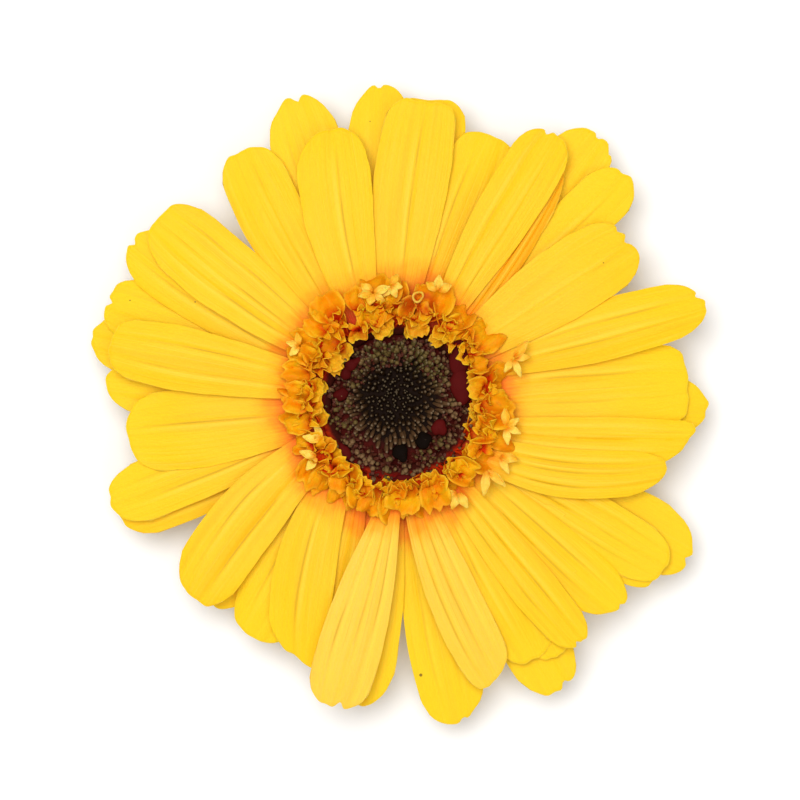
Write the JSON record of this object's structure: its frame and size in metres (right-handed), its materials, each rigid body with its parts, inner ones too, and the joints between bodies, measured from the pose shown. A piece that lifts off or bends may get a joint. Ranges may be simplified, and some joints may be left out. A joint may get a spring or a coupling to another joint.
{
  "type": "gerbera daisy head",
  "caption": "Picked gerbera daisy head, face up: overlapping strap petals, a frilly ring of short florets, a dark eye and a green bract cup on a short cut stem.",
  "frame": {"origin": "middle of the cut stem end that the head stands on", "axes": "+Z out of the flower's face, +Y towards the top of the picture, +X towards its right"},
  "size_m": [0.0985, 0.1018, 0.0238],
  "materials": {
    "bract_green": "matt, slightly hairy green bracts and stem",
    "petal_yellow": "satin golden yellow petal, orange at its base",
    "frill_orange": "satin amber orange floret with paler rims",
    "eye_brown": "velvety black-brown buds"
  },
  "bodies": {
    "root": {"involucre": "bract_green", "ray_florets": "petal_yellow", "trans_florets": "frill_orange", "disc_florets": "eye_brown"}
  },
  "joints": []
}
